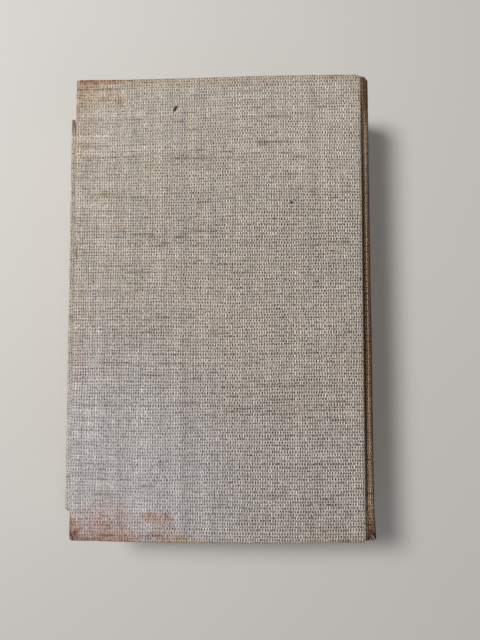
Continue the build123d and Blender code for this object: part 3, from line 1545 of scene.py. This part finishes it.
@dataclass
class Endpaper:
    """One folded endpaper: the half glued to the board and the free half on the leaves.

    Attributes:
        turn_step: How far the glued paper sinks where no cloth is turned in under it.
        crossing: The number of steps from the board to the groove.
        joint_skip: The number of the shoulder line's points that the paper stops short of.
        joint_zone: How far before the joint the glued paper starts to rise, and where it has.
        wave_deep: How far in from the free edge the flyleaf waves.
    """

    layout: Layout
    side: Side
    thick: float = 0.11 * MM
    margin: float = 2.6 * MM
    turn_step: float = 0.3 * MM
    turn_edge: float = 0.5 * MM
    turn_slope: float = 0.6 * MM
    columns: int = 46
    crossing: int = 26
    rows: int = 70
    joint_steps: int = 12
    joint_skip: int = 3
    joint_gap: float = 1.0 * MM
    joint_zone: Zone = (-1.6 * MM, -0.4 * MM)
    pastedown_drop: float = 0.13 * MM
    pastedown_inset: float = 0.34 * MM
    flyleaf_drop: float = 0.03 * MM
    flyleaf_inset: float = 0.62 * MM
    wave_deep: float = 20 * MM
    wave_wide: float = 24 * MM
    wave_high: float = 0.05 * MM

    def joint_line(self, inset: float) -> list[Vector]:
        """Return the paper's way from the floor of the groove up to the shoulder."""
        line = self.layout.shoulder_line(self.side, inset, self.joint_steps)
        return line[self.joint_skip :][::-1]

    def sheet(self, points: list[Vector], half: float, lift: Callable[[Vector], float], up: float) -> Work:
        """Make a thin sheet along Y.

        Args:
            points: Its (x, z) profile.
            half: Half its height.
            lift: How far a point is moved along Z.
            up: The way its plain side faces, along Z.

        Returns:
            The mesh in progress.
        """
        work = Work()
        work.carry(work.line(points, -half), 2 * half, self.rows)
        for vert in work.mesh.verts:
            vert.co.z += lift(vert.co)
        work.thicken(self.thick, lambda spot: Vector((0.0, 0.0, up)))
        work.lay_flat()
        return work

    def pastedown(self, paper: bpy.types.Material) -> bpy.types.Object:
        """Build the half that is glued to the board.

        Args:
            paper: Its finish.

        Returns:
            The object.
        """
        lay, up, turn_in = self.layout, self.side.up, self.layout.turn_in
        size, edge = lay.cover_size(self.side), lay.joint_edge(self.side)
        level = lay.inner_face(self.side) - up * self.pastedown_drop
        fore, wide = edge - size.x, size.x - self.margin - self.joint_gap
        flat = {fore + self.margin + wide * i / self.columns for i in range(self.columns + 1)}
        flat = sorted({*flat, fore + turn_in, fore + turn_in + self.turn_edge})
        joint = self.joint_line(self.pastedown_inset)
        points = [Vector((x, level)) for x in flat]
        last = points[-1]
        points += [last.lerp(joint[0], i / self.crossing) for i in range(1, self.crossing)] + joint

        def lift(spot: Vector) -> float:
            """Sink the paper where no cloth lies under it."""
            rim = min(spot.x - fore, size.y / 2 - abs(spot.y))
            boarded = 1 - ease(spot.x - edge, *self.joint_zone)
            return up * self.turn_step * ease(rim, turn_in, turn_in + self.turn_slope) * boarded

        work = self.sheet(points, size.y / 2 - self.margin, lift, -up)
        shown = work.piece(self.side.named("pastedown_sheet"), paper, "endpaper")
        self.side.body
        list(lay.bend(self.side))
        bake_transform(shown)
        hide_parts(self.side.named("pastedown"))
        cut = (joint[-1].x - flat[0], size.y - 2 * self.margin)
        self.side.named("board")
        return shown

    def flyleaf(self, paper: bpy.types.Material) -> bpy.types.Object:
        """Build the free half that lies on the leaves.

        Args:
            paper: Its finish.

        Returns:
            The object.
        """
        up = self.side.up
        low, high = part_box(self.side.named("flyleaf"))
        level = (high.z if self.side is Side.BACK else low.z) - up * self.flyleaf_drop
        wide, count = high.x - low.x, self.columns
        joint = self.joint_line(self.flyleaf_inset)
        points = [Vector((low.x + wide * i / count, level)) for i in range(count + 1)] + joint

        def lift(spot: Vector) -> float:
            """Let the free edge of the paper wave a little."""
            free = 1 - ease(spot.x, low.x, low.x + self.wave_deep)
            return -up * abs(uneven(spot, self.wave_wide)) * self.wave_high * free

        work = self.sheet(points, high.y, lift, up)
        shown = work.piece(self.side.named("flyleaf_sheet"), paper, "endpaper")
        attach(shown, "leaves")
        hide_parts(self.side.named("flyleaf"))
        return shown


@dataclass
class Leaves:
    """All the leaves, sewn in sections whose cut edges never quite agree.

    Attributes:
        jog: How unevenly the sections were trimmed.
        section_dip: How far the cut edge dips between two sections.
        fore_share: The share of both at the fore-edge.
        wave_wide: The size of one swell of the head and the tail.
    """

    layout: Layout
    sections: int = 58
    columns: int = 22
    seed: int = 7
    jog: float = 0.09 * MM
    section_dip: float = 0.22 * MM
    fore_share: float = 0.7
    wave_wide: float = 9 * MM
    wave_high: float = 0.16 * MM

    def wave(self, spot: Vector) -> float:
        """Return how far the head or the tail is drawn in at a point."""
        at = Vector((spot.x * 0.4, 0.3 * math.copysign(1, spot.y), spot.z * 2.0))
        return max(0.0, uneven(at, self.wave_wide)) * self.wave_high

    def build(self, edges: bpy.types.Material) -> bpy.types.Object:
        """Build the leaves as one block, section by section from the bottom.

        Args:
            edges: The finish of the cut edges.

        Returns:
            The object.
        """
        lay, chance = self.layout, random.Random(self.seed)
        low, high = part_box("text_block")
        bottom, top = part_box("front_flyleaf")[1].z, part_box("back_flyleaf")[0].z
        fore_low = Vector((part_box("front_flyleaf")[0].x, bottom))
        fore_top = Vector((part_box("back_flyleaf")[0].x, top))
        fore_centre, fore_radius = lay.arc(fore_low, fore_top, lay.fore_hollow)

        def reach(centre: Vector, radius: float, z: float) -> float:
            """Return the x of an arc at a height."""
            return centre.x + math.sqrt(radius**2 - (z - centre.y) ** 2)

        def ring(z: float, jog: float) -> list[tuple[float, float, float]]:
            """Return the four corners of the leaves at a height."""
            x0 = reach(fore_centre, fore_radius, z) + jog * self.fore_share
            x1 = reach(lay.back_centre, lay.back_radius, z)
            half = high.y + jog
            return [(x0, -half, z), (x1, -half, z), (x1, half, z), (x0, half, z)]

        work, layers = Work(), 2 * self.sections
        corners = [work.mesh.verts.new(corner) for corner in ring(bottom, 0.0)]
        rim = [work.mesh.edges.new(pair) for pair in zip(corners, [*corners[1:], corners[0]])]
        for number, vert in enumerate(corners):
            vert[work.corner] = number
        for layer in range(1, layers + 1):
            z = bottom + (top - bottom) * layer / layers
            jog = -abs(chance.gauss(0.0, self.jog)) if layer % 2 else -self.section_dip
            rim, verts = work.grow(rim)
            spots = ring(z, jog if layer < layers else 0.0)
            for vert in verts:
                vert.co = spots[vert[work.corner]]
        work.close_ends()
        work.cut(X_AXIS, [low.x + (high.x - low.x) * i / self.columns for i in range(1, self.columns)])
        for vert in work.mesh.verts:
            vert.co.y -= math.copysign(self.wave(vert.co), vert.co.y)
        shown = work.piece("leaves", edges, "leaves", 25.0)
        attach(shown, "leaves")
        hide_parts("text_block")
        return shown


@dataclass
class EndBand:
    """The plain wound band at one end of the leaves, along the rounded back."""

    layout: Layout
    end: End
    radius: float = 0.8 * MM
    sides: int = 12
    steps: int = 60
    inset_share: float = 0.03
    proud_share: float = 0.85
    seat_share: float = 0.9

    def build(self, cotton: bpy.types.Material) -> bpy.types.Object:
        """Build the band by turning a small round about the centre of the back.

        Args:
            cotton: Its finish.

        Returns:
            The object.
        """
        lay, work = self.layout, Work()
        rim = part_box("text_block")[1].y + self.radius * self.proud_share
        start = lay.on_back(self.inset_share, -self.radius * self.seat_share)
        way = (start - lay.back_centre).normalized()
        turn = Matrix(((way.x, 0.0, -way.y), (0.0, 1.0, 0.0), (way.y, 0.0, way.x))).to_4x4()
        place = Matrix.Translation(Vector((start.x, self.end.value * rim, start.y))) @ turn
        bmesh.ops.create_circle(work.mesh, segments=self.sides, radius=self.radius, matrix=place)
        sweep = (lay.top_angle - lay.low_angle) * (1 - 2 * self.inset_share)
        centre = (lay.back_centre.x, 0.0, lay.back_centre.y)
        geom = [*work.mesh.verts, *work.mesh.edges]
        bmesh.ops.spin(work.mesh, geom=geom, cent=centre, axis=Y_AXIS, angle=-sweep, steps=self.steps)
        work.close_ends()
        shown = work.piece(f"{self.end.band}_roll", cotton, "band")
        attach(shown, "leaves")
        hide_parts(self.end.band)
        return shown


@dataclass
class Studio:
    """The pale floor, the soft lights and the camera over the book."""

    layout: Layout
    eye: Vector = Vector((13.4, -17.1, 194.8)) * MM
    tilt: tuple[float, float, float] = (3.08, 1.18, -0.10)
    lens: float = 27.0
    sensor: float = 36.0
    clip_start: float = 10 * MM
    key_at: Vector = Vector((-0.32, 0.2, 0.66))
    key_watts: float = 4.35
    key_size: float = 0.2
    fill_at: Vector = Vector((0.75, -0.55, 0.5))
    fill_watts: float = 1.3
    fill_size: float = 0.8
    aim: Vector = Vector((0.0, 0.0, 0.02))
    sky: float = 0.2
    floor_size: float = 2.0
    floor_squares: int = 4
    floor_drop: float = 0.1 * MM

    def floor(self) -> None:
        """Lay the floor under the book."""
        work, squares = Work(), self.floor_squares
        bmesh.ops.create_grid(work.mesh, x_segments=squares, y_segments=squares, size=self.floor_size)
        bmesh.ops.translate(work.mesh, vec=(0.0, 0.0, -self.floor_drop), verts=work.mesh.verts)
        show("floor", work.data("floor", StudioFloor().make()))

    def lamp(self, name: str, at: Vector, watts: float, size: float) -> None:
        """Hang one soft lamp that shines at the book.

        Args:
            name: The lamp's name.
            at: Its place.
            watts: Its power.
            size: The side of its square.
        """
        data = bpy.data.lights.new(name, "AREA")
        data.energy = watts
        data.size = size
        lamp = show(name, data)
        lamp.location = at
        lamp.rotation_euler = (self.aim - at).to_track_quat("-Z", "Y").to_euler()

    def camera(self) -> None:
        """Set the camera over the back cover, as near as the book was seen from."""
        low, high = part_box("back_board")
        middle = Vector(((low.x + high.x) / 2, 0.0, self.layout.outer_face(Side.BACK)))
        data = bpy.data.cameras.new("camera")
        data.sensor_width = self.sensor
        data.lens = self.lens
        data.clip_start = self.clip_start
        camera = show("camera", data)
        camera.location = middle + self.eye
        camera.rotation_euler = [math.radians(angle) for angle in self.tilt]
        bpy.context.scene.camera = camera

    def sky_light(self) -> None:
        """Fill the room with plain even light."""
        world = bpy.data.worlds.new("room")
        world.use_nodes = True
        back = world.node_tree.nodes["Background"]
        back.inputs["Color"].default_value = (*WHITE, 1.0)
        back.inputs["Strength"].default_value = self.sky
        bpy.context.scene.world = world

    def build(self) -> None:
        """Set the whole studio."""
        self.floor()
        self.lamp("key", self.key_at, self.key_watts, self.key_size)
        self.lamp("fill", self.fill_at, self.fill_watts, self.fill_size)
        self.camera()
        self.sky_light()
        bpy.context.scene.view_settings.view_transform = "Standard"


RUST = (0.60, 0.37, 0.24)
ROSE = (0.98, 0.83, 0.78)
AMBER = (1.0, 0.86, 0.62)
SOOT = (0.10, 0.09, 0.08)
GREY = (0.70, 0.70, 0.70)
PALE = (1.28, 1.26, 1.23)
# Warm brown painted shade for the grooves by the hinges.
GROOVE_SHADE = (0.33, 0.24, 0.16)
# The rim of a mark that is sharp and soaks in evenly.
CRISP = {"ragged": 0.3, "soaked": False}

HEAD_STAINS = (
    Stain((-49.5, 94.6), (15.0, 2.4), (0.72, 0.45, 0.27), 0.95),
    Stain((-58.2, 86.5), (2.4, 13.0), RUST, 0.42),
    Stain((-54.0, 92.5), (7.0, 5.0), RUST, 0.42),
    Stain((-57.0, 76.0), (7.0, 30.0), (0.99, 0.93, 0.86)),
    Stain((-50.0, 88.0), (14.0, 8.0), (0.97, 0.86, 0.74), 0.7),
    Stain((-40.6, 87.4), (2.4, 2.8), AMBER, 0.7),
    Stain((-40.6, 84.6), (2.6, 1.8), RUST, 0.35),
    Stain((-47.4, 86.3), (2.2, 2.2), RUST, 0.35),
    Stain((8.0, 95.8), (84.0, 5.6), (0.92, 0.83, 0.74)),
    Stain((-36.0, 95.8), (18.0, 5.4), (0.87, 0.76, 0.66)),
    Stain((50.0, 95.8), (18.0, 5.4), (0.93, 0.88, 0.84)),
)

EDGE_STAINS = (
    Stain((-57.0, -22.0), (5.5, 16.0), (1.02, 0.965, 0.94)),
    Stain((-58.0, 20.9), (1.0, 3.4), (0.55, 0.42, 0.30), 0.9),
    Stain((56.0, -30.0), (7.5, 30.0), (0.97, 0.945, 0.925)),
    Stain((59.6, -62.0), (1.7, 60.0), (0.76, 0.68, 0.60), 0.9, ragged=0.5),
    Stain((59.6, 40.0), (1.7, 62.0), (0.82, 0.75, 0.68), 0.8, ragged=0.5),
)

TAIL_STAINS = (
    Stain((-58.4, -93.0), (3.6, 3.6), (0.34, 0.22, 0.17)),
    Stain((-59.2, -88.0), (1.8, 7.0), (0.62, 0.46, 0.38), 0.8),
    Stain((-49.0, -95.2), (21.0, 1.5), (0.42, 0.35, 0.31), ragged=0.4),
    Stain((-57.8, -90.0), (4.6, 6.0), (0.88, 0.62, 0.50)),
    Stain((-26.0, -94.8), (18.0, 5.0), (0.84, 0.72, 0.66)),
    Stain((-53.0, -86.5), (11.0, 8.5), (1.0, 0.90, 0.87), 0.85),
    Stain((56.5, -95.2), (13.0, 3.2), (0.6, 0.56, 0.52), 0.95),
    Stain((-46.0, -92.6), (21.0, 4.5), (0.95, 0.79, 0.71), 0.6),
    Stain((-43.0, -86.0), (13.0, 10.5), ROSE, 0.85),
    Stain((-45.0, -88.5), (7.5, 6.0), (0.98, 0.79, 0.72), 0.6),
    Stain((-45.0, -94.0), (19.0, 3.0), (0.93, 0.74, 0.65), 0.95),
    Stain((-23.6, -84.9), (8.0, 3.0), (0.93, 0.68, 0.56), ragged=1.2),
    Stain((-27.5, -84.0), (3.4, 2.0), (0.92, 0.72, 0.62), 0.7, turn=12.0),
    Stain((-19.5, -90.5), (9.5, 6.0), (0.97, 0.83, 0.76), 0.85, turn=-20.0),
    Stain((-10.5, -94.4), (14.0, 2.0), AMBER, 0.8),
    Stain((50.0, -92.0), (15.0, 6.5), (1.0, 0.93, 0.78), 0.6),
)

SPOTS = (
    Stain((-42.0, 32.4), (3.6, 2.6), (1.0, 0.86, 0.72), 0.85),
    Stain((-46.4, 45.9), (3.0, 2.2), (0.86, 0.78, 0.60), 0.8),
    Stain((-27.2, 28.0), (2.2, 1.8), (0.84, 0.78, 0.62), 0.8),
    Stain((39.4, 88.1), (1.3, 1.2), (1.0, 0.72, 0.48), 0.9),
    Stain((30.2, 77.1), (1.2, 1.1), (1.0, 0.74, 0.5), 0.9),
    Stain((18.7, 66.3), (3.2, 2.0), (0.62, 0.61, 0.62)),
    Stain((24.6, 66.7), (6.4, 1.0), GREY),
    Stain((16.4, 65.0), (1.5, 2.4), (1.14, 1.15, 1.22), 0.9),
    Stain((15.2, 80.6), (3.4, 2.4), (1.03, 0.94, 0.95), 0.9),
    Stain((-11.7, 74.0), (2.6, 5.5), (1.0, 0.95, 0.84), 0.9),
    Stain((22.0, -33.0), (33.0, 0.8), (0.72, 0.70, 0.68), 0.9),
    Stain((-31.7, 6.5), (2.2, 1.7), AMBER, 0.5),
    Stain((12.3, 59.5), (2.1, 1.7), AMBER, 0.5),
    *(Stain(at, (2.6, 1.9), AMBER, 0.5) for at in ((45.2, 39.4), (-12.8, 3.5))),
)

SPECKS = (
    Stain((-17.6, 81.6), (0.9, 2.3), SOOT, turn=-33.0, ragged=0.2, soaked=False),
    Stain((30.5, 41.3), (1.0, 0.8), SOOT, ragged=0.2, soaked=False),
    Stain((-50.8, 9.2), (0.6, 0.6), SOOT, 0.9, **CRISP),
    *(Stain(at, (0.6, 0.6), SOOT, 0.8, **CRISP) for at in ((27.8, 9.7), (40.8, 8.8), (58.3, 9.9))),
    *(Stain(at, (0.7, 0.5), SOOT, 0.75, **CRISP) for at in ((37.7, -79.9), (37.7, -84.6))),
)

PALE_THREADS = (
    Stain((-50.5, 70.6), (9.5, 0.55), PALE, **CRISP),
    Stain((-52.5, 43.1), (9.0, 0.5), PALE, **CRISP),
    Stain((-54.0, 64.2), (5.0, 0.5), PALE, 0.8, **CRISP),
    Stain((-50.0, 24.6), (9.0, 0.5), PALE, 0.8, **CRISP),
)

# Painted cool light: a bluish cast over the lower left of the back cover.
PAINTED_COOL_LIGHT = Stain((-56.0, -76.0), (80.0, 92.0), (1.03, 1.065, 1.16), ragged=0.0, soaked=False)

# The back cover's marks, with the painted cool light first.
BACK_STAINS_AND_COOL_LIGHT = (
    PAINTED_COOL_LIGHT,
    *HEAD_STAINS,
    *EDGE_STAINS,
    *TAIL_STAINS,
    *SPOTS,
    *SPECKS,
    *PALE_THREADS,
)

FRONT_STAINS_AND_HIGHLIGHT = (
    Stain((-64.5, 92.5), (4.5, 7.0), (0.45, 0.36, 0.30)),
    Stain((-63.5, 60.0), (4.0, 40.0), (0.82, 0.76, 0.70), 0.8),
    # Painted highlight: the lower half of the fore-edge is lighter and bluish, where its rounded edge
    # catches the light.
    Stain((-64.0, -55.0), (6.0, 50.0), (1.12, 1.13, 1.18), 0.8, soaked=False),
)

BACK_RUN, FRONT_RUN = SPINE_START[Side.BACK], SPINE_START[Side.FRONT]

# Marks on the spine linen: stains, plus painted shade and a painted highlight by the back hinge.
SPINE_STAINS_AND_LIGHT = (
    # Painted shade along both grooves, where the edge of the board shades the cloth.
    Stain((BACK_RUN + 23.0, 0.0), (1.5, 124.0), GROOVE_SHADE, turn=0.25, ragged=0.25, soaked=False),
    Stain((FRONT_RUN + 23.6, 0.0), (1.5, 124.0), GROOVE_SHADE, ragged=0.25, soaked=False),
    # Painted shade on the back shoulder, on the side of the ridge turned from the light.
    Stain((BACK_RUN + 18.4, 0.0), (2.4, 140.0), (0.44, 0.34, 0.25), 0.95, **CRISP),
    # Painted shade and a painted warm reflection on the ridge, with some dirt.
    Stain((BACK_RUN + 20.3, 0.0), (1.5, 140.0), (0.26, 0.17, 0.115), 0.95, ragged=0.4, soaked=False),
    Stain((FRONT_RUN + 18.4, 0.0), (2.4, 140.0), (0.6, 0.5, 0.4), 0.9, **CRISP),
    Stain((BACK_RUN + 22.0, -93.0), (6.0, 16.0), (0.66, 0.50, 0.40), 0.8),
    Stain((BACK_RUN + 21.0, -96.5), (8.0, 9.0), (0.29, 0.21, 0.16), ragged=0.4, soaked=False),
    Stain((BACK_RUN + 21.0, 92.0), (3.2, 22.0), (0.28, 0.17, 0.09), 0.95, ragged=0.5, soaked=False),
    # Painted highlight: bluish white at the head of the back groove, where the cloth's edge catches the
    # light.
    Stain((BACK_RUN + 24.4, 90.0), (1.4, 16.0), (1.25, 1.3, 1.35), **CRISP),
    *(Stain((run, 93.0), (24.0, 9.0), (0.8, 0.7, 0.6), 0.8) for run in (BACK_RUN, FRONT_RUN)),
    *(Stain((run, -93.0), (24.0, 9.0), (0.82, 0.7, 0.6), 0.8) for run in (BACK_RUN, FRONT_RUN)),
)


def main() -> None:
    """Build the book over its frame, then the studio."""
    logging.basicConfig(level=logging.INFO, format="%(name)s: %(message)s")
    layout = Layout()
    wraps = {
        # Painted cool light towards the tail on both covers.
        Side.BACK: Linen("linen_back_cover", tail_cool_light=0.8, stains_and_painted_light=BACK_STAINS_AND_COOL_LIGHT).make(),
        Side.FRONT: Linen("linen_front_cover", tail_cool_light=0.8, stains_and_painted_light=FRONT_STAINS_AND_HIGHLIGHT).make(),
    }
    # The spine's brown is partly sun-toned linen and partly a painted warm reflection.
    spine = Linen("linen_spine", tone_and_reflection=(0.74, 0.64, 0.51), stains_and_painted_light=SPINE_STAINS_AND_LIGHT).make()
    paper = OldPaper("endpaper_cream").make()
    fray = TailFray().build(LooseFlax().make())
    for side in Side:
        CoverWrap(layout, side).build(wraps[side])
        SpineLinen(layout, side).build(spine, [fray] if side is Side.BACK else [])
        Endpaper(layout, side).pastedown(paper)
        Endpaper(layout, side).flyleaf(paper)
    Leaves(layout).build(LeafEdges().make())
    cotton = BandCotton().make()
    for end in End:
        EndBand(layout, end).build(cotton)
    board = Greyboard().make()
    for node in ("back_board", "front_board", "spine_inlay"):
        dress(node, board)
    dress("spine_lining", Mull().make())
    Studio(layout).build()


if __name__ == "__main__":
    main()
